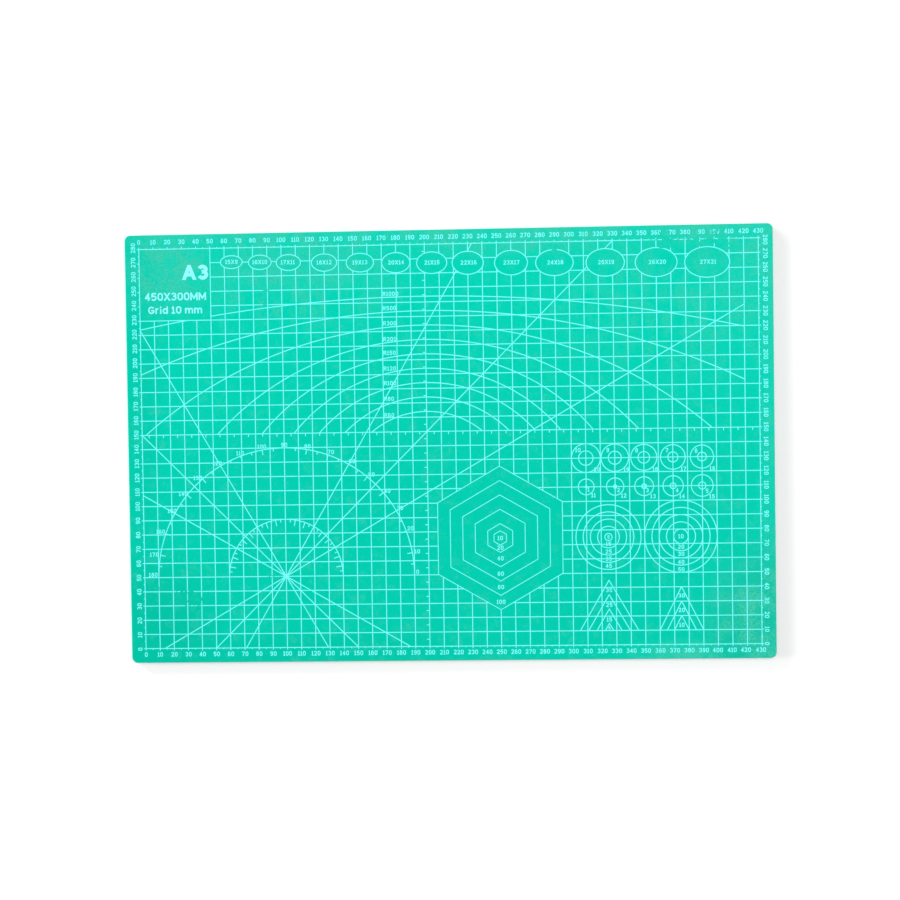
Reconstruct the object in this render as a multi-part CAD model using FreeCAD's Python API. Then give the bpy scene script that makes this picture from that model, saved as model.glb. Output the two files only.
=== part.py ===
import FreeCAD, Part
import math
import os
from collections import namedtuple
from functools import lru_cache

# Self-healing cutting mat, A3 size: a hard core sheet bonded between two soft skins, with a
# measuring print on the front skin. Millimetres, X along the long side, Y along the short side,
# Z up, origin at the centre of the underside.
#
# Print positions count from the scale's own zero, the lower left corner of the printed frame.
# All ink lies in one layer: where two marks cross, the one laid first keeps the crossing.

# --- Mat ---
MAT_LENGTH = 450.0
MAT_WIDTH = 300.0
CORNER_RADIUS = 4.0
SKIN_THICKNESS = 0.8
CORE_THICKNESS = 1.4
FACE_HEIGHT = 2 * SKIN_THICKNESS + CORE_THICKNESS

# --- Print: film, frame and grid ---
INK_THICKNESS = 0.05
PITCH = 10
HALF_PITCH = PITCH // 2
FRAME_LENGTH = 430
FRAME_WIDTH = 280
GRID_LINE = 0.6
DRAWN_LINE = 0.64
HEXAGON_LINE = 0.52
LONG_TICK = 1.4
SHORT_TICK = 0.8

# --- Size label, in a box with no grid at the top left ---
LABEL_BOX_RIGHT = 50
LABEL_BOX_FOOT = 230

# --- Middle lines, whose half centimetres are ticked ---
MIDDLE_ROW = 150
MIDDLE_COLUMN = 200
MIDDLE_TICK = 2.0

# --- Angle lines and protractor, about one point ---
ANGLE_CENTRE = (100, 50)
LINE_ANGLES = (30, 45, 60, 120, 135, 150)
ANGLE_LINES_RIGHT = 420
PROTRACTOR_RADIUS = 90
INNER_ARC_RADIUS = 40
PROTRACTOR_LONG_TICK = 3.6
INNER_ARC_LONG_TICK = 4.2
PROTRACTOR_SHORT_TICK = 2.0
PROTRACTOR_BARE_ANGLES = (15, 165)

# --- Radius arcs, which end at the middle row ---
ARC_CENTRE_X = 200
ARC_TOPS = {1000: 244, 500: 234, 300: 224, 200: 214, 150: 204, 120: 194, 100: 184, 80: 174, 60: 164}
ARC_LABEL_X = 170.5
ARC_LABEL_FOOTS = {
    1000: 244.6, 500: 234.6, 300: 224.1, 200: 213.1, 150: 203.6,
    120: 192.7, 100: 182.5, 80: 171.6, 60: 160.2,
}

# --- Ovals: centre, width, height, name and how far right the name stands; all hang from one level ---
OVAL_TOP = 274.6
OVAL_NAME_RISE = 0.2
OVALS = (
    (65, 15.2, 9, "15X9", 0.1),
    (85, 16.0, 10, "16X10", 0),
    (105, 17.0, 11, "17X11", -0.4),
    (130, 17.6, 12, "18X12", 0),
    (155, 19.0, 13, "19X13", 0),
    (180, 19.6, 14, "20X14", 0.2),
    (205, 20.9, 15, "21X15", 0.2),
    (230, 21.6, 16, "22X16", 0.6),
    (260, 22.8, 17, "23X17", 0.3),
    (290, 25.9, 18, "24X18", 0.6),
    (325, 26.4, 19, "25X19", 0.6),
    (360, 28.7, 20, "26X20", 0.8),
    (395, 30.8, 21, "27X21", 0.6),
)

# --- Hexagons: circumradius, and the height at which its number stands ---
HEXAGON_CENTRE = (250, 75.2)
HEXAGONS = ((5, 75.2), (10, 68.4), (20, 61.0), (30, 50.3), (40, 41.0), (50, 30.7))

# --- Circle templates: two rows, each circle with a smaller one at its centre. Ink has run in the
# smallest, which are drawn bolder ---
TEMPLATE_COLUMNS = (310, 330, 350, 370, 390)
UPPER_TEMPLATE_ROW = 130
UPPER_TEMPLATES = ((20, 10), (19, 9), (18, 8), (17, 7), (16, 6))
LOWER_TEMPLATE_ROW = 110
LOWER_TEMPLATES = ((11, 1), (12, 2), (13, 3), (14, 4), (15, 5))
DOT_DIAMETER = 3
DOT_LINE = 0.95

# --- Nested circles: diameter, and the height at which its number stands ---
NESTED_CIRCLE_ROW = 75
LEFT_NEST_X = 325
LEFT_NEST = ((5, 75), (15, 70.3), (25, 64.9), (35, 60.0), (45, 55.1))
RIGHT_NEST_X = 375
RIGHT_NEST = ((10, 75), (20, 67.8), (30, 62.8), (40, 57.2), (50, 52.0))

# --- Nested triangles on one base line: height, and the height at which its number stands ---
TRIANGLE_BASE = 10
LEFT_TRIANGLES_X = 325
LEFT_TRIANGLES = ((35, 38.2), (25, 27.9), (15, 17.7), (5, 11.9))
LEFT_HALF_BASE = 1 / math.sqrt(3)
RIGHT_TRIANGLES_X = 375
RIGHT_TRIANGLES = ((30, 33.9), (20, 23.9), (10, 13.5))
RIGHT_HALF_BASE = 1 / 2

# --- Lettering: cap height, stroke, width of a digit, and gap between letters ---
Style = namedtuple("Style", "height stroke width gap")
SCALE_TEXT = Style(3.25, 0.62, 2.05, 0.4)
SMALL_TEXT = Style(3.0, 0.58, 1.95, 0.45)
TINY_TEXT = Style(2.4, 0.48, 1.6, 0.4)
SIZE_TEXT = Style(10.4, 2.5, 7.5, 0.8)
LENGTH_TEXT = Style(5.5, 1.05, 3.9, 0.6)
NOTE_TEXT = Style(5.2, 1.0, 3.8, 0.65)
SCALE_TEXT_OFFSET = 4.15
TOP_TEXT_OFFSET = 5.0

# --- The side scales' numbers are laid a little askew: by this much at their foot and at their top ---
LEFT_NUMBER_RISE = (-0.3, 1.0)
RIGHT_NUMBER_DRIFT = (-0.6, 0.7)

# --- Single numbers that stand off their tick, along the scale ---
RIGHT_NUMBER_SHIFTS = {270: -0.6, 280: -1.2}
BOTTOM_NUMBER_SHIFTS = {400: -0.4, 410: -0.6, 420: -1.1, 430: -0.8}

# --- Words of the size label: text, left end, foot and style ---
SIZE_LABEL = (
    ("A3", 30.1, 258.3, SIZE_TEXT),
    ("450X300MM", 3.6, 244.1, LENGTH_TEXT),
    ("Grid 10 mm", 5.9, 234.9, NOTE_TEXT),
)


# Letters as strokes in a box one unit wide and one high, with the stroke's centre on the box.
# A point marked ROUND lies on an arc between its two neighbours. Feet and tips that reach past
# the box are cut flat at the letter's foot and top.
ROUND = "round"

TALL_LOOP = [(0, 0.7), (0.5, 1, ROUND), (1, 0.7), (1, 0.3), (0.5, 0, ROUND), (0, 0.3), (0, 0.7)]
LOW_LOOP = [(0, 0.29), (0.5, 0.58, ROUND), (1, 0.29), (0.5, 0, ROUND), (0, 0.29)]
HIGH_LOOP = [(0, 0.71), (0.5, 1, ROUND), (1, 0.71), (0.5, 0.42, ROUND), (0, 0.71)]
SMALL_LOOP = [
    (0, 0.42), (0.47, 0.7, ROUND), (0.94, 0.42), (0.94, 0.28), (0.47, 0, ROUND), (0, 0.28), (0, 0.42),
]

STROKES = {
    "0": [TALL_LOOP],
    "1": [[(0.5, 1), (0.5, 0)], [(0.12, 0.8), (0.45, 0.94)], [(0, 0), (1, 0)]],
    "2": [[(0, 0.78), (0.52, 1, ROUND), (0.93, 0.6), (0, 0), (1, 0)]],
    "3": [
        [(0, 0.84), (0.5, 1, ROUND), (0.95, 0.77), (0.82, 0.6, ROUND), (0.4, 0.54)],
        [(0.36, 0.55), (0.86, 0.46, ROUND), (1, 0.27), (0.5, 0, ROUND), (0, 0.18)],
    ],
    "4": [[(0.74, 1), (0, 0.28), (1, 0.28)], [(0.74, 0.9), (0.74, 0)]],
    "5": [[(0.92, 1), (0.1, 1), (0.02, 0.5), (0.5, 0.62, ROUND), (1, 0.31), (0.5, 0, ROUND), (0, 0.16)]],
    "6": [LOW_LOOP, [(0.1, 0.5), (0.1, 0.68), (0.52, 1, ROUND), (0.95, 0.86)]],
    "7": [[(0, 1), (1, 1), (0.35, 0)]],
    "8": [LOW_LOOP, [(0.07, 0.77), (0.5, 1, ROUND), (0.93, 0.77), (0.5, 0.54, ROUND), (0.07, 0.77)]],
    "9": [HIGH_LOOP, [(0.9, 0.5), (0.9, 0.32), (0.48, 0, ROUND), (0.05, 0.14)]],
    "A": [[(0.02, -0.12), (0.5, 1.08), (0.98, -0.12)], [(0.3, 0.3), (0.7, 0.3)]],
    "G": [[(0.95, 0.8), (0.5, 1, ROUND), (0, 0.5), (0.5, 0, ROUND), (1, 0.26), (1, 0.44), (0.6, 0.44)]],
    "M": [[(0, 0), (0, 1), (0.5, 0.2), (1, 1), (1, 0)]],
    "R": [[(0, 0), (0, 1), (0.62, 1), (1, 0.75, ROUND), (0.62, 0.5)], [(0.1, 0.5), (0.5, 0.5), (1, 0)]],
    "X": [[(-0.04, -0.1), (1.04, 1.1)], [(-0.04, 1.1), (1.04, -0.1)]],
    "d": [SMALL_LOOP, [(1, 0), (1, 1)]],
    "i": [[(0, 0), (0, 0.58)], [(0, 0.95), (0, 1)]],
    "m": [
        [(0, 0), (0, 0.7)],
        [(0.04, 0.42), (0.27, 0.7, ROUND), (0.5, 0.42), (0.5, 0)],
        [(0.54, 0.42), (0.77, 0.7, ROUND), (1, 0.42), (1, 0)],
    ],
    "r": [[(0, 0), (0, 0.7)], [(0.06, 0.42), (0.45, 0.68, ROUND), (1, 0.66)]],
}

# Widths of the letters that are not as wide as a digit, in digit widths.
LETTER_WIDTHS = {
    "1": 0.65, "A": 1.36, "G": 1.15, "M": 1.35, "R": 1.05, "X": 1.15, "i": 0.3, "m": 1.5, "r": 0.7,
}
SPACE_WIDTH = 0.5

# Protractor numbers stand clear of the outer arc, moved from their own point of it by this much.
PROTRACTOR_NUMBER_SHIFTS = {
    0: (2.1, 2.3), 10: (3.5, 0.9), 20: (2.9, 1.9), 30: (2.4, 2.0), 40: (2.8, 1.2),
    50: (3.0, 1.6), 60: (2.4, 2.1), 70: (1.9, 2.1), 80: (0.7, 2.2), 90: (0, 2.1),
    100: (-0.2, 2.4), 110: (-0.3, 2.1), 120: (-2.3, 1.8), 130: (-3.4, 0.8), 140: (-2.8, 0.8),
    150: (-1.9, 1.8), 160: (-3.6, 1.5), 170: (-4.4, 0.6), 180: (-4.0, 2.0),
}

# Template numbers stand this far from their circle's centre.
UPPER_INNER_NUMBERS = ((-5.4, 5.6), (-4.8, 5.3), (-4.9, 4.9), (-4.0, 4.7), (-4.0, 4.1))
UPPER_OUTER_NUMBERS = ((7.6, -8.0), (7.9, -8.2), (7.8, -8.3), (7.3, -8.2), (7.1, -8.2))
LOWER_INNER_NUMBERS = ((1.6, -1.8), (2.3, -2.3), (2.2, -2.8), (2.7, -3.1), (3.3, -3.7))
LOWER_OUTER_NUMBERS = ((5.0, -5.8), (5.9, -6.3), (6.1, -7.0), (6.1, -7.2), (6.7, -7.6))

UP = FreeCAD.Vector(0, 0, 1)

# Points this close are one point, shapes this close may touch, and ink this small isn't printed.
TOUCHING = 1e-6
NEAR = 0.01
SCRAP_AREA = 0.03


# --- Flat shapes on the face of the mat ---

def on_face(x, y):
    """A point of the print, in the mat's own frame."""
    return FreeCAD.Vector(x - FRAME_LENGTH / 2, y - FRAME_WIDTH / 2, FACE_HEIGHT)


def polygon(points):
    return Part.Face(Part.makePolygon(points + points[:1]))


def rectangle(left, foot, right, top):
    return polygon([on_face(left, foot), on_face(right, foot), on_face(right, top), on_face(left, top)])


def disc(x, y, radius):
    return Part.Face(Part.Wire(Part.makeCircle(radius, on_face(x, y))))


def ring(x, y, diameter, line):
    """A circle drawn with a line of the given width; a circle no wider than its line is a dot."""
    outer = disc(x, y, (diameter + line) / 2)
    if diameter <= line:
        return outer
    return outer.cut(disc(x, y, (diameter - line) / 2)).Faces[0]


def oval(x, y, width, height):
    return Part.Face(Part.Wire(Part.Ellipse(on_face(x, y), width / 2, height / 2).toShape()))


def hexagon(x, y, circumradius):
    """A filled hexagon that stands on a corner."""
    turns = [math.radians(60 * corner + 90) for corner in range(6)]
    return polygon([on_face(x + circumradius * math.cos(t), y + circumradius * math.sin(t)) for t in turns])


def edge_of(run):
    """A straight edge through two points, or an arc through three."""
    return Part.makeLine(*run) if len(run) == 2 else Part.Arc(*run).toShape()


def strip(start, end, line):
    """A straight strip of ink with square ends."""
    side = (end - start).normalize().cross(UP) * (line / 2)
    return polygon([start + side, end + side, end - side, start - side])


def arc_strip(points, line):
    """A strip of ink along an arc through three points."""
    return open_stroke([points], line)


def open_stroke(runs, line):
    """A strip along straight and round runs, round at its corners and square at its ends."""
    path = Part.Wire([edge_of(run) for run in runs])
    left, right = [path.makeOffset2D(side, openResult=True).Wires[0] for side in (line / 2, -line / 2)]
    left_ends = [left.OrderedVertexes[0].Point, left.OrderedVertexes[-1].Point]
    right_ends = [right.OrderedVertexes[0].Point, right.OrderedVertexes[-1].Point]
    if left_ends[0].distanceToPoint(right_ends[0]) > left_ends[0].distanceToPoint(right_ends[1]):
        right_ends.reverse()
    ends = [Part.makeLine(*pair) for pair in zip(left_ends, right_ends)]
    return Part.Face(Part.Wire(Part.__sortEdges__(left.Edges + right.Edges + ends)))


def joined(faces):
    """One film from faces that cross."""
    pieces = faces[0].multiFuse(faces[1:]).Faces
    return Part.makeShell(pieces).removeSplitter().Faces


def minus(faces, others):
    """Faces with everything that the others cover taken away, and no scraps too small to print."""
    kept = []
    for face in faces:
        bounds = face.BoundBox
        bounds.enlarge(NEAR)
        near = [other for other in others if bounds.intersect(other.BoundBox)]
        kept += face.cut(near).Faces if near else [face]
    return [face for face in kept if face.Area > SCRAP_AREA]


# --- Letters ---

def runs_of(stroke):
    """The straight and round runs between a stroke's points."""
    runs = []
    start = 0
    while start < len(stroke) - 1:
        end = start + (2 if stroke[start + 1][-1] == ROUND else 1)
        runs.append(stroke[start:end + 1])
        start = end
    return runs


def squared(runs, line):
    """Runs whose straight ends reach half a line further, so that a foot stands on the base line."""
    runs = [list(run) for run in runs]
    if len(runs[0]) == 2:
        runs[0][0] += (runs[0][0] - runs[0][1]).normalize() * (line / 2)
    if len(runs[-1]) == 2:
        runs[-1][1] += (runs[-1][1] - runs[-1][0]).normalize() * (line / 2)
    return runs


def stroke_outline(runs, line):
    """The ink of one stroke, and the same with any hole filled."""
    if runs[0][0].isEqual(runs[-1][-1], TOUCHING):
        loop = Part.Wire([edge_of(run) for run in runs])
        filled = Part.Face(loop.makeOffset2D(line / 2))
        return filled.cut(Part.Face(loop.makeOffset2D(-line / 2))), filled
    runs = squared(runs, line)
    film = strip(*runs[0], line) if len(runs) == 1 and len(runs[0]) == 2 else open_stroke(runs, line)
    return film, film


@lru_cache(maxsize=None)
def letter(character, style):
    """One letter with its foot and left side on the zero of the print, and its width."""
    width = style.width * LETTER_WIDTHS.get(character, 1)
    across = max(width - style.stroke, 0)
    up = style.height - style.stroke

    def point_at(point):
        return on_face(style.stroke / 2 + point[0] * across, style.stroke / 2 + point[1] * up)

    box = rectangle(-style.stroke, 0, width + style.stroke, style.height)
    faces = []
    earlier = []
    for stroke in STROKES[character]:
        runs = [[point_at(point) for point in run] for run in runs_of(stroke)]
        film, filled = stroke_outline(runs, style.stroke)
        faces += minus(film.common(box).Faces, earlier)
        earlier.append(filled)
    return faces, width


def line_of_text(text, style):
    """Letters side by side from the zero of the print, and the whole length."""
    faces = []
    length = 0
    for character in text:
        if character == " ":
            length += SPACE_WIDTH * style.width
            continue
        letter_faces, width = letter(character, style)
        for face in letter_faces:
            moved = face.copy()
            moved.translate(FreeCAD.Vector(length, 0, 0))
            faces.append(moved)
        length += width + style.gap
    return faces, length - style.gap


def text_at(text, x, y, style, turn=0):
    """Text centred on a point of the print, turned anticlockwise by the given angle."""
    faces, length = line_of_text(text, style)
    for face in faces:
        face.translate(FreeCAD.Vector(x - length / 2, y - style.height / 2, 0))
        face.rotate(on_face(x, y), UP, turn)
    return faces


def text_from(text, left, foot, style):
    """Text that starts at a point of the print."""
    faces, _ = line_of_text(text, style)
    for face in faces:
        face.translate(FreeCAD.Vector(left, foot, 0))
    return faces


# --- Marks of the print, each a list of flat faces ---

def frame_marks():
    half = GRID_LINE / 2
    outside = rectangle(-half, -half, FRAME_LENGTH + half, FRAME_WIDTH + half)
    inside = rectangle(half, half, FRAME_LENGTH - half, FRAME_WIDTH - half)
    return outside.cut(inside).Faces


def edge_tick_marks():
    """Ticks that stick out of the frame on all four sides, long at each centimetre."""
    half = GRID_LINE / 2
    ticks = []
    for x in range(0, FRAME_LENGTH + 1, HALF_PITCH):
        reach = LONG_TICK if x % PITCH == 0 else SHORT_TICK
        ticks.append(rectangle(x - half, -reach, x + half, -half))
        ticks.append(rectangle(x - half, FRAME_WIDTH + half, x + half, FRAME_WIDTH + reach))
    for y in range(0, FRAME_WIDTH + 1, HALF_PITCH):
        reach = LONG_TICK if y % PITCH == 0 else SHORT_TICK
        ticks.append(rectangle(-reach, y - half, -half, y + half))
        ticks.append(rectangle(FRAME_LENGTH + half, y - half, FRAME_LENGTH + reach, y + half))
    return ticks


def grid_marks():
    """The centimetre lines, from frame to frame."""
    half = GRID_LINE / 2
    bars = []
    for x in range(PITCH, FRAME_LENGTH, PITCH):
        bars.append(rectangle(x - half, half, x + half, FRAME_WIDTH - half))
    for y in range(PITCH, FRAME_WIDTH, PITCH):
        bars.append(rectangle(half, y - half, FRAME_LENGTH - half, y + half))
    return bars


def middle_tick_marks():
    """Ticks on the two middle lines, below the row and to the left of the column."""
    half = GRID_LINE / 2
    ticks = []
    for x in range(HALF_PITCH, FRAME_LENGTH, PITCH):
        ticks.append(rectangle(x - half, MIDDLE_ROW - MIDDLE_TICK, x + half, MIDDLE_ROW - half))
    for y in range(HALF_PITCH, FRAME_WIDTH, PITCH):
        ticks.append(rectangle(MIDDLE_COLUMN - MIDDLE_TICK, y - half, MIDDLE_COLUMN - half, y + half))
    return ticks


def oval_marks():
    marks = []
    for x, width, height, *_ in OVALS:
        y = OVAL_TOP - height / 2
        outside = oval(x, y, width + DRAWN_LINE, height + DRAWN_LINE)
        marks += outside.cut(oval(x, y, width - DRAWN_LINE, height - DRAWN_LINE)).Faces
    return marks


def oval_blanks():
    """The ovals with their lines, filled."""
    return [oval(x, OVAL_TOP - h / 2, w + DRAWN_LINE, h + DRAWN_LINE) for x, w, h, *_ in OVALS]


def hexagon_line_reach():
    """How far a hexagon's line reaches past its corner, so that its sides are one line wide."""
    return HEXAGON_LINE / 2 / math.cos(math.radians(30))


def hexagon_marks():
    marks = []
    reach = hexagon_line_reach()
    for circumradius, _ in HEXAGONS:
        outside = hexagon(*HEXAGON_CENTRE, circumradius + reach)
        marks += outside.cut(hexagon(*HEXAGON_CENTRE, circumradius - reach)).Faces
    return marks


def hexagon_blank():
    largest = HEXAGONS[-1][0]
    return hexagon(*HEXAGON_CENTRE, largest + hexagon_line_reach())


def label_box_blank():
    half = GRID_LINE / 2
    return rectangle(half, LABEL_BOX_FOOT + half, LABEL_BOX_RIGHT - half, FRAME_WIDTH - half)


def inside_frame(faces, right=FRAME_LENGTH, foot=0):
    """What lies inside the frame, up to a right-hand limit and down to a lower one."""
    half = GRID_LINE / 2
    window = rectangle(half, foot + half, right - half, FRAME_WIDTH - half)
    return Part.makeCompound(faces).common(window).Faces


def angle_line_marks():
    """Long lines through the protractor's centre, joined where they cross there."""
    reach = FRAME_LENGTH + FRAME_WIDTH
    centre = on_face(*ANGLE_CENTRE)
    lines = []
    for angle in LINE_ANGLES:
        along = FreeCAD.Vector(math.cos(math.radians(angle)), math.sin(math.radians(angle)), 0) * reach
        lines.append(strip(centre - along, centre + along, DRAWN_LINE))
    return inside_frame(joined(lines), right=ANGLE_LINES_RIGHT)


def radius_arc_marks():
    marks = []
    for radius, top in ARC_TOPS.items():
        marks += inside_frame([ring(ARC_CENTRE_X, top - radius, 2 * radius, DRAWN_LINE)],
                              right=ANGLE_LINES_RIGHT, foot=MIDDLE_ROW)
    return marks


def on_circle(radius, angle):
    """A point on a circle about the protractor's centre."""
    x = ANGLE_CENTRE[0] + radius * math.cos(math.radians(angle))
    y = ANGLE_CENTRE[1] + radius * math.sin(math.radians(angle))
    return on_face(x, y)


def protractor_marks():
    """Two half circles with ticks that point inwards, except where a line of the print stands."""
    crossed = LINE_ANGLES + (90,)
    arcs = (
        (PROTRACTOR_RADIUS, PROTRACTOR_LONG_TICK, crossed + PROTRACTOR_BARE_ANGLES),
        (INNER_ARC_RADIUS, INNER_ARC_LONG_TICK, crossed),
    )
    marks = []
    for radius, long_tick, bare_angles in arcs:
        film = [arc_strip([on_circle(radius, turn) for turn in (0, 90, 180)], DRAWN_LINE)]
        for angle in range(5, 180, 5):
            if angle in bare_angles:
                continue
            tick = long_tick if angle % 10 == 0 else PROTRACTOR_SHORT_TICK
            film.append(strip(on_circle(radius, angle), on_circle(radius - tick, angle), DRAWN_LINE))
        marks += joined(film)
    return marks


def template_marks():
    marks = []
    rows = ((UPPER_TEMPLATE_ROW, UPPER_TEMPLATES), (LOWER_TEMPLATE_ROW, LOWER_TEMPLATES))
    for y, templates in rows:
        for x, diameters in zip(TEMPLATE_COLUMNS, templates):
            for diameter in diameters:
                marks.append(ring(x, y, diameter, DOT_LINE if diameter <= DOT_DIAMETER else DRAWN_LINE))
    return marks


def nested_circle_marks():
    marks = [ring(LEFT_NEST_X, NESTED_CIRCLE_ROW, diameter, DRAWN_LINE) for diameter, _ in LEFT_NEST]
    marks += [ring(RIGHT_NEST_X, NESTED_CIRCLE_ROW, diameter, DRAWN_LINE) for diameter, _ in RIGHT_NEST]
    return marks


def triangle_marks():
    """Two legs each: the base is a line of the grid."""
    marks = []
    sets = ((LEFT_TRIANGLES_X, LEFT_TRIANGLES, LEFT_HALF_BASE),
            (RIGHT_TRIANGLES_X, RIGHT_TRIANGLES, RIGHT_HALF_BASE))
    for x, triangles, half_base in sets:
        for height, _ in triangles:
            left = on_face(x - height * half_base, TRIANGLE_BASE)
            tip = on_face(x, TRIANGLE_BASE + height)
            right = on_face(x + height * half_base, TRIANGLE_BASE)
            marks += inside_frame([open_stroke([(left, tip), (tip, right)], DRAWN_LINE)], foot=TRIANGLE_BASE)
    return marks


# --- Numbers and words of the print ---

def askew(ends, value):
    """A shift that grows evenly up the side of the frame."""
    return ends[0] + (ends[1] - ends[0]) * value / FRAME_WIDTH


def bottom_numbers():
    faces = []
    for value in range(0, FRAME_LENGTH + 1, PITCH):
        x = value + BOTTOM_NUMBER_SHIFTS.get(value, 0)
        faces += text_at(str(value), x, -SCALE_TEXT_OFFSET, SCALE_TEXT)
    return faces


def top_numbers():
    faces = []
    for value in range(0, FRAME_LENGTH + 1, PITCH):
        faces += text_at(str(value), value, FRAME_WIDTH + TOP_TEXT_OFFSET, SCALE_TEXT)
    return faces


def left_numbers():
    faces = []
    for value in range(0, FRAME_WIDTH + 1, PITCH):
        y = value + askew(LEFT_NUMBER_RISE, value)
        faces += text_at(str(value), -SCALE_TEXT_OFFSET, y, SCALE_TEXT, turn=90)
    return faces


def right_numbers():
    faces = []
    for value in range(0, FRAME_WIDTH + 1, PITCH):
        x = FRAME_LENGTH + SCALE_TEXT_OFFSET + askew(RIGHT_NUMBER_DRIFT, value)
        y = value + RIGHT_NUMBER_SHIFTS.get(value, 0)
        faces += text_at(str(value), x, y, SCALE_TEXT, turn=-90)
    return faces


def size_label():
    faces = []
    for text, left, foot, style in SIZE_LABEL:
        faces += text_from(text, left, foot, style)
    return faces


def oval_names():
    faces = []
    for x, _, height, name, shift in OVALS:
        faces += text_at(name, x + shift, OVAL_TOP - height / 2 + OVAL_NAME_RISE, SMALL_TEXT)
    return faces


def arc_names():
    faces = []
    for radius, foot in ARC_LABEL_FOOTS.items():
        faces += text_from(f"R{radius}", ARC_LABEL_X, foot, SMALL_TEXT)
    return faces


def protractor_numbers():
    faces = []
    for angle, (right, up) in PROTRACTOR_NUMBER_SHIFTS.items():
        x = ANGLE_CENTRE[0] + PROTRACTOR_RADIUS * math.cos(math.radians(angle)) + right
        y = ANGLE_CENTRE[1] + PROTRACTOR_RADIUS * math.sin(math.radians(angle)) + up
        faces += text_at(str(angle), x, y, SMALL_TEXT)
    return faces


def hexagon_numbers():
    faces = []
    for circumradius, y in HEXAGONS:
        faces += text_at(str(2 * circumradius), HEXAGON_CENTRE[0], y, SMALL_TEXT)
    return faces


def template_numbers():
    faces = []
    rows = (
        (UPPER_TEMPLATE_ROW, UPPER_TEMPLATES, UPPER_OUTER_NUMBERS, UPPER_INNER_NUMBERS),
        (LOWER_TEMPLATE_ROW, LOWER_TEMPLATES, LOWER_OUTER_NUMBERS, LOWER_INNER_NUMBERS),
    )
    for y, templates, *number_places in rows:
        for column, diameters in enumerate(templates):
            for diameter, places in zip(diameters, number_places):
                right, up = places[column]
                faces += text_at(str(diameter), TEMPLATE_COLUMNS[column] + right, y + up, SMALL_TEXT)
    return faces


def nested_circle_numbers():
    faces = []
    for x, nest in ((LEFT_NEST_X, LEFT_NEST), (RIGHT_NEST_X, RIGHT_NEST)):
        for diameter, y in nest:
            style = TINY_TEXT if diameter == min(LEFT_NEST)[0] else SMALL_TEXT
            faces += text_at(str(diameter), x, y, style)
    return faces


def triangle_numbers():
    faces = []
    for x, triangles in ((LEFT_TRIANGLES_X, LEFT_TRIANGLES), (RIGHT_TRIANGLES_X, RIGHT_TRIANGLES)):
        for height, y in triangles:
            style = TINY_TEXT if height == min(LEFT_TRIANGLES)[0] else SMALL_TEXT
            faces += text_at(str(height), x, y, style)
    return faces


# --- Pieces ---

def save(node, shape):
    shape.exportStep(f"parts/{node}.step")


def ply(foot, thickness):
    """A full-size sheet with round corners."""
    corner = FreeCAD.Vector(-MAT_LENGTH / 2, -MAT_WIDTH / 2, foot)
    sheet = Part.makeBox(MAT_LENGTH, MAT_WIDTH, thickness, corner)
    uprights = [edge for edge in sheet.Edges if edge.BoundBox.ZLength > thickness / 2]
    return sheet.makeFillet(CORNER_RADIUS, uprights)


def print_film(node, faces, laid, fuse=False):
    """Save one group of marks as ink films that keep clear of the marks already laid."""
    clear = minus(faces, laid)
    laid += clear
    films = joined(clear) if fuse else clear
    save(node, Part.makeCompound([face.extrude(UP * INK_THICKNESS) for face in films]))


def build():
    os.makedirs("parts", exist_ok=True)
    save("back_skin", ply(0, SKIN_THICKNESS))
    save("core_sheet", ply(SKIN_THICKNESS, CORE_THICKNESS))
    save("front_skin", ply(SKIN_THICKNESS + CORE_THICKNESS, SKIN_THICKNESS))

    laid = []
    blanks = [label_box_blank(), hexagon_blank()] + oval_blanks()
    print_film("frame_line", frame_marks(), laid)
    print_film("edge_ticks", edge_tick_marks(), laid)
    print_film("oval_outlines", oval_marks(), laid)
    print_film("hexagon_outlines", hexagon_marks(), laid)
    print_film("grid_lines", minus(grid_marks(), blanks), laid, fuse=True)
    print_film("middle_ticks", minus(middle_tick_marks(), blanks), laid)
    print_film("angle_lines", minus(angle_line_marks(), blanks), laid)
    print_film("radius_arcs", minus(radius_arc_marks(), blanks), laid)
    print_film("protractor_arcs", protractor_marks(), laid)
    print_film("template_circles", template_marks(), laid)
    print_film("nested_circles", nested_circle_marks(), laid)
    print_film("nested_triangles", triangle_marks(), laid)

    print_film("bottom_scale_numbers", bottom_numbers(), laid)
    print_film("top_scale_numbers", top_numbers(), laid)
    print_film("left_scale_numbers", left_numbers(), laid)
    print_film("right_scale_numbers", right_numbers(), laid)
    print_film("size_label", size_label(), laid)
    print_film("oval_names", oval_names(), laid)
    print_film("arc_names", arc_names(), laid)
    print_film("protractor_numbers", protractor_numbers(), laid)
    print_film("hexagon_numbers", hexagon_numbers(), laid)
    print_film("template_numbers", template_numbers(), laid)
    print_film("nested_circle_numbers", nested_circle_numbers(), laid)
    print_film("triangle_numbers", triangle_numbers(), laid)


build()
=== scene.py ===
"""A green self-healing cutting mat with a printed measuring grid, lying on a white table.

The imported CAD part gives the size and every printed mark. The three sheets are rebuilt here with
softly rounded edges, and every surface gets a procedural material. All lengths are in metres, in the
part's own frame: X along the mat, Y across it, Z up, origin at the centre of the underside.
"""

import math

import bmesh
import bpy
from mathutils import Matrix, Vector


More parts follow.
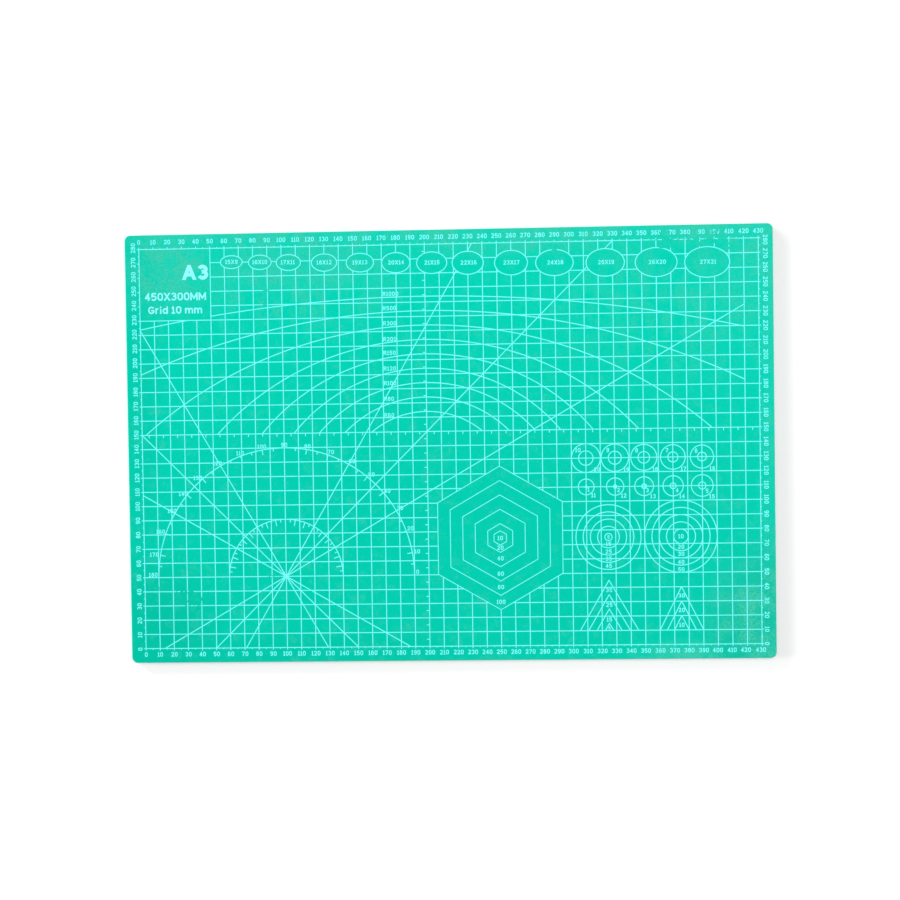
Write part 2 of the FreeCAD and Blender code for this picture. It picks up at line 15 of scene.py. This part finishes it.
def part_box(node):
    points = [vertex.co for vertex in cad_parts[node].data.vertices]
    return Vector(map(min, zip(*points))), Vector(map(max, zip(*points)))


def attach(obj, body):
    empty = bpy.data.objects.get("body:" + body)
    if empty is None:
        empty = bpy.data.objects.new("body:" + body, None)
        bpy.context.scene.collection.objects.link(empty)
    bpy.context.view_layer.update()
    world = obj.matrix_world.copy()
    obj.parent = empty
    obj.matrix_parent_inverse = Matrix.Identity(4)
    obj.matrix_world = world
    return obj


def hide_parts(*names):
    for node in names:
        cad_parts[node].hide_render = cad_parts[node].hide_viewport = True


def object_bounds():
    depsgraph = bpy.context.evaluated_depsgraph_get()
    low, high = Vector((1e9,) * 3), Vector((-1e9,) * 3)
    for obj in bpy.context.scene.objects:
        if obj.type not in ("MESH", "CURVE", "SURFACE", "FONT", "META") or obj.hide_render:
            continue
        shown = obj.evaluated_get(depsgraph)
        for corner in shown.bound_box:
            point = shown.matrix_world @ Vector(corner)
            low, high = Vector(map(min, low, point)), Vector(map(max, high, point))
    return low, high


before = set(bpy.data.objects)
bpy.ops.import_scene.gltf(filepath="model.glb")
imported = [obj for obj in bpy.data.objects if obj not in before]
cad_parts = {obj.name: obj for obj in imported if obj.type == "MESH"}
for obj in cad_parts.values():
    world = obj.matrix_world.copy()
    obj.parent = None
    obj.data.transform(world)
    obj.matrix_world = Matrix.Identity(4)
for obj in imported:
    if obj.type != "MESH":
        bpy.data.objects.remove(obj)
cad_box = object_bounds()

MM = 0.001

# --- Sheets ---
SHEET_NODES = ("back_skin", "core_sheet", "front_skin")
CORNER_RADIUS = 4.0 * MM
CORNER_STEPS = 14
SEAM_DEPTH = 0.07 * MM
EDGE_ROUNDING = 0.28 * MM
EDGE_STEPS = 4
FACE_WEIGHT = 100

# --- Print: its zero on the mat, and the node with letters that are printed fuller ---
PRINT_ZERO = Vector((-215.0, -140.0)) * MM
BOLD_NODE = "size_label"

# --- Colours, linear ---
GREEN = (0.000, 0.596, 0.424, 1.0)
# Green of the painted shade, and of the fine dark pores.
GREEN_SHADE_AND_PORES = (0.000, 0.462, 0.318, 1.0)
# Pale green of the painted sheen, and of the chalky smears and mottles.
GREEN_CHALK_AND_SHEEN = (0.056, 0.540, 0.384, 1.0)
CORE_GREEN = (0.004, 0.330, 0.220, 1.0)
CORE_GREEN_LIGHT = (0.012, 0.420, 0.300, 1.0)
INK = (0.190, 0.930, 0.960, 1.0)
INK_THIN = (0.090, 0.830, 0.790, 1.0)
BOLD_INK = (0.285, 0.905, 0.990, 1.0)
BOLD_INK_THIN = (0.215, 0.880, 0.960, 1.0)
TABLE_WHITE = (0.960, 0.960, 0.962, 1.0)
TABLE_GREY = (0.948, 0.950, 0.954, 1.0)
WORLD_WHITE = (1.0, 1.0, 1.0, 1.0)

# --- How much each material shines ---
SKIN_SPECULAR = 0.02
INK_SPECULAR = 0.02
CORE_SPECULAR = 0.4
TABLE_SPECULAR = 0.2
TABLE_ROUGHNESS = 0.75

# --- Patches of the skin's colour: centre and half size in millimetres of the print, and strength ---
PATCH_SOFTNESS = 0.6
# Painted sheen: a pale veil along the top and right edges of the skin.
PAINTED_SHEEN_PATCHES = (
    ((16, 264), (34, 24), 0.62),
    ((110, 266), (60, 14), 0.50),
    ((200, 286), (210, 12), 0.55),
    ((424, 286), (50, 8), 0.75),
    ((424, 255), (24, 30), 0.45),
    ((438, 130), (8, 150), 0.30),
    ((430, 14), (30, 36), 0.85),
    ((395, -6), (48, 8), 0.60),
)
SMEARED_PATCHES = (
    ((385, 236), (80, 46), 0.32),
    ((112, 250), (56, 22), 0.45),
)
# Painted shade: the skin darker towards the bottom, most at the bottom corners, and along the left edge.
PAINTED_SHADE_PATCHES = (
    ((-2, -4), (60, 74), 0.75),
    ((-8, 130), (22, 190), 0.40),
    ((110, -12), (170, 26), 0.55),
    ((215, 30), (300, 150), 0.30),
    ((438, 0), (48, 66), 0.90),
)

# --- Where the ink is rubbed away: centre and half size in millimetres of the print ---
WORN_SOFTNESS = 0.25
WORN_SPOTS = (
    ((368, 280), (3.4, 1.0)),
    ((387, 280), (1.6, 1.0)),
    ((397, 280), (2.6, 1.0)),
    ((406, 280), (2.4, 1.0)),
    ((367.4, 285.2), (1.5, 1.7)),
    ((386.8, 285.0), (1.7, 2.0)),
    ((363.6, 284.0), (0.9, 1.4)),
    ((370, 277.4), (1.2, 3.2)),
    ((390, 276.6), (1.2, 1.6)),
    ((400, 278.4), (1.2, 1.6)),
    ((290, 277.2), (1.4, 2.6)),
    ((290, 274.6), (1.8, 0.6)),
    ((364, 274.6), (2.2, 0.6)),
    ((88, 240), (1.4, 0.8)),
    ((89, 250), (2.2, 0.8)),
)

# --- Where the ink is thin and broken, the same way ---
THIN_SOFTNESS = 0.35
THIN_STRETCHES = (
    ((382, 280), (30, 1.0)),
    ((400, 285.0), (4.0, 2.4)),
    ((410, 276), (1.2, 4.0)),
    ((29, 40), (8, 1)),
    ((33, 30), (6, 1)),
    ((30, 34.5), (1, 4)),
    ((40, 34.5), (1, 2)),
    ((10, 42), (1, 1.6)),
    ((90, 50), (6, 1)),
)

# --- Table ---
TABLE_HALF = 6.0
TABLE_CELLS = 4
TABLE_GAP = 0.05 * MM

# --- Lights: name, place, size of the face, and power in watts ---
SOFTBOXES = (
    ("overhead_softbox", (0.8, 0.35, 2.2), (1.8, 1.4), 31.0),
    ("low_left_softbox", (-4.5, 0.0, 0.825), (1.8, 0.75), 173.0),
    ("low_corner_softbox", (-3.375, 2.97, 0.825), (1.8, 0.75), 160.0),
)
WORLD_STRENGTH = 0.418

# --- Camera, with its lens and sensor in millimetres, as Blender takes them ---
CAMERA_PLACE = Vector((29.25, 11.43, 847.78)) * MM
CAMERA_AIM = Vector((0.75, -3.15, 0.0)) * MM
CAMERA_TURN = math.radians(-0.78)
LENS_LENGTH = 48.6
SENSOR_WIDTH = 36.0

# --- Sockets of the colour mix node, whose names aren't unique ---
MIX_FIRST_COLOUR = 6
MIX_SECOND_COLOUR = 7
MIX_RESULT_COLOUR = 2


# --- Nodes ---

class Nodes:
    """A short way to add nodes to one material."""

    def __init__(self, material):
        self.tree = material.node_tree
        self.tree.nodes.clear()
        self.place = self.add("ShaderNodeTexCoord").outputs["Object"]

    def add(self, kind, **settings):
        node = self.tree.nodes.new(kind)
        for name, value in settings.items():
            setattr(node, name, value)
        return node

    def feed(self, socket, value):
        """Link a socket to a value that is an output, or else set it."""
        if isinstance(value, bpy.types.NodeSocket):
            self.tree.links.new(value, socket)
        else:
            socket.default_value = value

    def math(self, operation, first, second):
        node = self.add("ShaderNodeMath", operation=operation)
        self.feed(node.inputs[0], first)
        self.feed(node.inputs[1], second)
        return node.outputs[0]

    def product(self, first, second):
        return self.math("MULTIPLY", first, second)

    def greatest(self, values):
        """The largest of several values at each point."""
        result = values[0]
        for value in values[1:]:
            result = self.math("MAXIMUM", result, value)
        return result

    def mix(self, share, first, second):
        """First where share is 0, second where it is 1."""
        node = self.add("ShaderNodeMix", data_type="RGBA")
        self.feed(node.inputs["Factor"], share)
        self.feed(node.inputs[MIX_FIRST_COLOUR], first)
        self.feed(node.inputs[MIX_SECOND_COLOUR], second)
        return node.outputs[MIX_RESULT_COLOUR]

    def noise(self, size, detail=2.0, roughness=0.5, shift=(0.0, 0.0, 0.0), stretch=(1.0, 1.0, 1.0)):
        """Soft noise from 0 to 1 whose lumps have the given size in metres."""
        mapping = self.add("ShaderNodeMapping")
        self.feed(mapping.inputs["Vector"], self.place)
        mapping.inputs["Location"].default_value = shift
        mapping.inputs["Scale"].default_value = [axis / size for axis in stretch]
        noise = self.add("ShaderNodeTexNoise")
        self.feed(noise.inputs["Vector"], mapping.outputs[0])
        noise.inputs["Scale"].default_value = 1.0
        noise.inputs["Detail"].default_value = detail
        noise.inputs["Roughness"].default_value = roughness
        return noise.outputs["Fac"]

    def spread(self, value, low, high, to_low=0.0, to_high=1.0):
        """A smooth step from to_low at low, to to_high at high."""
        node = self.add("ShaderNodeMapRange", interpolation_type="SMOOTHSTEP")
        self.feed(node.inputs["Value"], value)
        node.inputs["From Min"].default_value = low
        node.inputs["From Max"].default_value = high
        node.inputs["To Min"].default_value = to_low
        node.inputs["To Max"].default_value = to_high
        return node.outputs["Result"]

    def patch(self, centre, half_size, softness):
        """1 inside an oval of the print, in millimetres, falling to 0 past its rim."""
        mapping = self.add("ShaderNodeMapping", vector_type="TEXTURE")
        self.feed(mapping.inputs["Vector"], self.place)
        middle = PRINT_ZERO + Vector(centre) * MM
        mapping.inputs["Location"].default_value = (middle.x, middle.y, 0.0)
        mapping.inputs["Scale"].default_value = (half_size[0] * MM, half_size[1] * MM, 1.0)
        length = self.add("ShaderNodeVectorMath", operation="LENGTH")
        self.feed(length.inputs[0], mapping.outputs[0])
        return self.spread(
            length.outputs["Value"], low=1.0 - softness, high=1.0 + softness, to_low=1.0, to_high=0.0
        )

    def patches(self, places):
        """The strongest of several patches of the skin at each point."""
        return self.greatest([
            self.product(self.patch(centre, half_size, PATCH_SOFTNESS), strength)
            for centre, half_size, strength in places
        ])

    def bump(self, height, distance, strength, normal=None):
        node = self.add("ShaderNodeBump")
        node.inputs["Distance"].default_value = distance
        node.inputs["Strength"].default_value = strength
        self.feed(node.inputs["Height"], height)
        if normal is not None:
            self.feed(node.inputs["Normal"], normal)
        return node.outputs[0]

    def surface(self, colour, roughness, specular, normal=None):
        shader = self.add("ShaderNodeBsdfPrincipled")
        self.feed(shader.inputs["Base Color"], colour)
        self.feed(shader.inputs["Roughness"], roughness)
        shader.inputs["Specular IOR Level"].default_value = specular
        if normal is not None:
            self.feed(shader.inputs["Normal"], normal)
        output = self.add("ShaderNodeOutputMaterial")
        self.feed(output.inputs["Surface"], shader.outputs[0])


def new_material(name):
    material = bpy.data.materials.new(name)
    material.use_nodes = True
    return material, Nodes(material)


# --- Materials ---

def chalk_and_sheen_share(n):
    """How pale the skin turns: clouded patches of painted sheen along the top and right edges, chalky
    drawn-out smears and mottles, all powdered finely.
    """
    wander = n.noise(size=30 * MM, detail=3.0)
    clouds = n.noise(size=11 * MM, detail=4.0, roughness=0.62, shift=(0.6, 2.2, 0.0))
    clouds = n.spread(clouds, low=0.36, high=0.62)
    patches = n.product(
        n.patches(PAINTED_SHEEN_PATCHES), n.spread(wander, low=0.30, high=0.60, to_low=0.35, to_high=1.1)
    )
    patches = n.product(patches, n.spread(clouds, low=0.0, high=1.0, to_low=0.35, to_high=1.15))
    drawn_out = n.noise(size=7 * MM, detail=2.0, shift=(7.0, 3.0, 0.0), stretch=(1.0, 0.5, 1.0))
    smears = n.product(n.patches(SMEARED_PATCHES), n.spread(drawn_out, low=0.40, high=0.64))
    mottle = n.noise(size=6 * MM, detail=3.0, roughness=0.6, shift=(3.1, 0.4, 0.0))
    mottle = n.spread(mottle, low=0.50, high=0.78, to_high=0.35)
    powder = n.noise(size=1.5 * MM, detail=3.0, roughness=0.7, shift=(0.0, 7.7, 0.0))
    powder = n.spread(powder, low=0.40, high=0.60, to_low=0.25, to_high=1.75)
    return n.product(n.greatest([patches, smears, mottle]), powder)


def skin_colour(n):
    """Green PVC with painted shade darkening it towards the bottom and the left, painted sheen and chalk
    paling it in places, and fine dark pores.
    """
    colour = n.mix(n.patches(PAINTED_SHADE_PATCHES), GREEN, GREEN_SHADE_AND_PORES)
    colour = n.mix(chalk_and_sheen_share(n), colour, GREEN_CHALK_AND_SHEEN)
    pores = n.noise(size=1.1 * MM, detail=2.0, shift=(4.4, 0.0, 0.0))
    return n.mix(n.spread(pores, low=0.45, high=0.70, to_high=0.40), colour, GREEN_SHADE_AND_PORES)


def pebble_grain(n):
    """The fine moulded grain of the sheet, over a slight swell."""
    grain = n.noise(size=0.45 * MM, detail=2.0, roughness=0.55)
    fine = n.bump(grain, distance=0.05 * MM, strength=0.35)
    swell = n.noise(size=14 * MM, detail=1.0, shift=(0.0, 0.0, 4.2))
    return n.bump(swell, distance=0.25 * MM, strength=0.25, normal=fine)


def skin_material():
    material, n = new_material("healing_skin")
    satin = n.noise(size=9 * MM, detail=3.0, shift=(5.0, 1.0, 0.0))
    satin = n.spread(satin, low=0.30, high=0.70, to_low=0.50, to_high=0.62)
    n.surface(skin_colour(n), satin, SKIN_SPECULAR, pebble_grain(n))
    return material


def core_material():
    """The hard core's cut edge: darker, with fine lines left along it by the knife."""
    material, n = new_material("hard_core")
    drag = n.noise(size=0.4 * MM, detail=3.0, stretch=(0.04, 0.04, 1.0))
    colour = n.mix(n.spread(drag, low=0.35, high=0.70), CORE_GREEN, CORE_GREEN_LIGHT)
    roughness = n.spread(drag, low=0.30, high=0.70, to_low=0.45, to_high=0.65)
    n.surface(colour, roughness, CORE_SPECULAR, n.bump(drag, distance=0.04 * MM, strength=0.5))
    return material


def ink_wear(n, grit):
    """How much of the ink is gone: rubbed away in a few spots, broken up along thin stretches."""
    rubbed = n.greatest([n.patch(centre, half_size, WORN_SOFTNESS) for centre, half_size in WORN_SPOTS])
    rubbed = n.product(rubbed, n.spread(grit, low=0.30, high=0.45, to_low=0.35))
    thin = n.greatest([n.patch(centre, half_size, THIN_SOFTNESS) for centre, half_size in THIN_STRETCHES])
    breaks = n.noise(size=1.6 * MM, detail=1.0, shift=(0.0, 2.3, 0.0))
    broken = n.product(thin, n.spread(breaks, low=0.45, high=0.56))
    return n.greatest([rubbed, broken])


def ink_material(name, full, faint):
    """Pale mint ink, a little uneven, with the skin showing where it has worn off."""
    material, n = new_material(name)
    grit = n.noise(size=0.8 * MM, detail=3.0, roughness=0.6, shift=(1.7, 0.0, 0.0))
    cloudy = n.noise(size=7 * MM, detail=2.0, shift=(9.0, 0.0, 0.0))
    cloudy = n.spread(cloudy, low=0.35, high=0.75, to_high=0.45)
    pinholes = n.spread(grit, low=0.60, high=0.72, to_high=0.35)
    ink = n.mix(n.greatest([cloudy, pinholes]), full, faint)
    colour = n.mix(ink_wear(n, grit), ink, skin_colour(n))
    roughness = n.spread(grit, low=0.30, high=0.70, to_low=0.42, to_high=0.58)
    n.surface(colour, roughness, INK_SPECULAR, n.bump(grit, distance=0.03 * MM, strength=0.3))
    return material


def table_material():
    material, n = new_material("white_table")
    tone = n.spread(n.noise(size=250 * MM, detail=2.0), low=0.30, high=0.70, to_high=0.30)
    n.surface(n.mix(tone, TABLE_WHITE, TABLE_GREY), TABLE_ROUGHNESS, TABLE_SPECULAR)
    return material


# --- Sheets ---

def outline(low, high, inset):
    """Points of a rectangle with round corners, set in from the mat's own outline."""
    radius = CORNER_RADIUS - inset
    corners = (
        (high.x, high.y, 0),
        (low.x, high.y, 90),
        (low.x, low.y, 180),
        (high.x, low.y, 270),
    )
    middle = (low + high) / 2
    points = []
    for corner_x, corner_y, first_turn in corners:
        centre_x = corner_x - math.copysign(CORNER_RADIUS, corner_x - middle.x)
        centre_y = corner_y - math.copysign(CORNER_RADIUS, corner_y - middle.y)
        for step in range(CORNER_STEPS + 1):
            turn = math.radians(first_turn + 90 * step / CORNER_STEPS)
            points.append((centre_x + radius * math.cos(turn), centre_y + radius * math.sin(turn)))
    return points


def rounded_rim():
    """How far a rounded rim stands back from the side and from the face, step by step."""
    rim = []
    for step in range(EDGE_STEPS + 1):
        turn = math.radians(90 * step / EDGE_STEPS)
        rim.append((EDGE_ROUNDING * (1 - math.sin(turn)), EDGE_ROUNDING * (1 - math.cos(turn))))
    return rim


def edge_profile(low, high, rounded_foot, rounded_top):
    """Inset and height up a sheet's edge: each end is rounded where it is free, nicked at a seam."""
    profile = []
    if rounded_foot:
        profile += [(inset, low.z + back) for inset, back in rounded_rim()]
    else:
        profile += [(SEAM_DEPTH, low.z), (0.0, low.z + SEAM_DEPTH)]
    if rounded_top:
        profile += [(inset, high.z - back) for inset, back in reversed(rounded_rim())]
    else:
        profile += [(0.0, high.z - SEAM_DEPTH), (SEAM_DEPTH, high.z)]
    return profile


def sheet_mesh(rings):
    """A closed skin over rings of points, one above the other, with a flat face at each end."""
    mesh = bmesh.new()
    rings = [[mesh.verts.new(point) for point in ring] for ring in rings]
    for lower, upper in zip(rings, rings[1:]):
        for index, vertex in enumerate(lower):
            following = (index + 1) % len(lower)
            mesh.faces.new((vertex, lower[following], upper[following], upper[index]))
    mesh.faces.new(list(reversed(rings[0])))
    mesh.faces.new(rings[-1])
    for face in mesh.faces:
        face.smooth = True
    return mesh


def add_object(name, mesh, material):
    """Turn a finished mesh into an object of the scene."""
    data = bpy.data.meshes.new(name)
    mesh.to_mesh(data)
    mesh.free()
    data.materials.append(material)
    added = bpy.data.objects.new(name, data)
    bpy.context.scene.collection.objects.link(added)
    return added


def sheet_piece(name, node, material, rounded_foot=False, rounded_top=False):
    """One sheet of the mat, in place of the CAD sheet of the same size."""
    low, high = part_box(node)
    rings = []
    for inset, height in edge_profile(low, high, rounded_foot, rounded_top):
        rings.append([(x, y, height) for x, y in outline(low, high, inset)])
    piece = add_object(name, sheet_mesh(rings), material)
    normals = piece.modifiers.new("even_normals", "WEIGHTED_NORMAL")
    normals.mode = "FACE_AREA"
    normals.weight = FACE_WEIGHT
    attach(piece, "root")
    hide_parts(node)
    return piece


def build_sheets():
    skin = skin_material()
    sheet_piece("back_skin_sheet", "back_skin", skin, rounded_foot=True)
    sheet_piece("core_edge_sheet", "core_sheet", core_material())
    sheet_piece("front_skin_sheet", "front_skin", skin, rounded_top=True)


def ink_the_print():
    """Every CAD node except the three sheets is a group of printed marks."""
    ink = ink_material("mint_ink", INK, INK_THIN)
    bold_ink = ink_material("bold_mint_ink", BOLD_INK, BOLD_INK_THIN)
    for name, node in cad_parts.items():
        if name not in SHEET_NODES:
            node.data.materials.clear()
            node.data.materials.append(bold_ink if name == BOLD_NODE else ink)


# --- Table, lights and camera ---

def build_table():
    mesh = bmesh.new()
    bmesh.ops.create_grid(mesh, x_segments=TABLE_CELLS, y_segments=TABLE_CELLS, size=TABLE_HALF)
    table = add_object("table_top", mesh, table_material())
    table.location.z = cad_box[0].z - TABLE_GAP


def area_light(name, place, size, power):
    """A soft light with a rectangular face, turned to the middle of the mat."""
    data = bpy.data.lights.new(name, "AREA")
    data.shape = "RECTANGLE"
    data.size, data.size_y = size
    data.energy = power
    light = bpy.data.objects.new(name, data)
    light.location = place
    light.rotation_mode = "QUATERNION"
    light.rotation_quaternion = (-Vector(place)).to_track_quat("-Z", "Y")
    bpy.context.scene.collection.objects.link(light)


def build_lights():
    for name, place, size, power in SOFTBOXES:
        area_light(name, place, size, power)
    world = bpy.data.worlds.new("studio")
    world.use_nodes = True
    background = world.node_tree.nodes["Background"]
    background.inputs["Color"].default_value = WORLD_WHITE
    background.inputs["Strength"].default_value = WORLD_STRENGTH
    bpy.context.scene.world = world


def build_camera():
    """A camera almost straight above the mat, a little to its right and turned slightly."""
    data = bpy.data.cameras.new("camera")
    data.lens = LENS_LENGTH
    data.sensor_width = SENSOR_WIDTH
    camera = bpy.data.objects.new("camera", data)
    back = (CAMERA_PLACE - CAMERA_AIM).normalized()
    right = Vector((math.cos(CAMERA_TURN), math.sin(CAMERA_TURN), 0.0))
    right = (right - back * right.dot(back)).normalized()
    axes = Matrix((right, back.cross(right), back)).transposed().to_4x4()
    camera.matrix_world = Matrix.Translation(CAMERA_PLACE) @ axes
    bpy.context.scene.collection.objects.link(camera)
    bpy.context.scene.camera = camera


bpy.context.scene.view_settings.view_transform = "Standard"
build_camera()
build_sheets()
ink_the_print()
build_table()
build_lights()
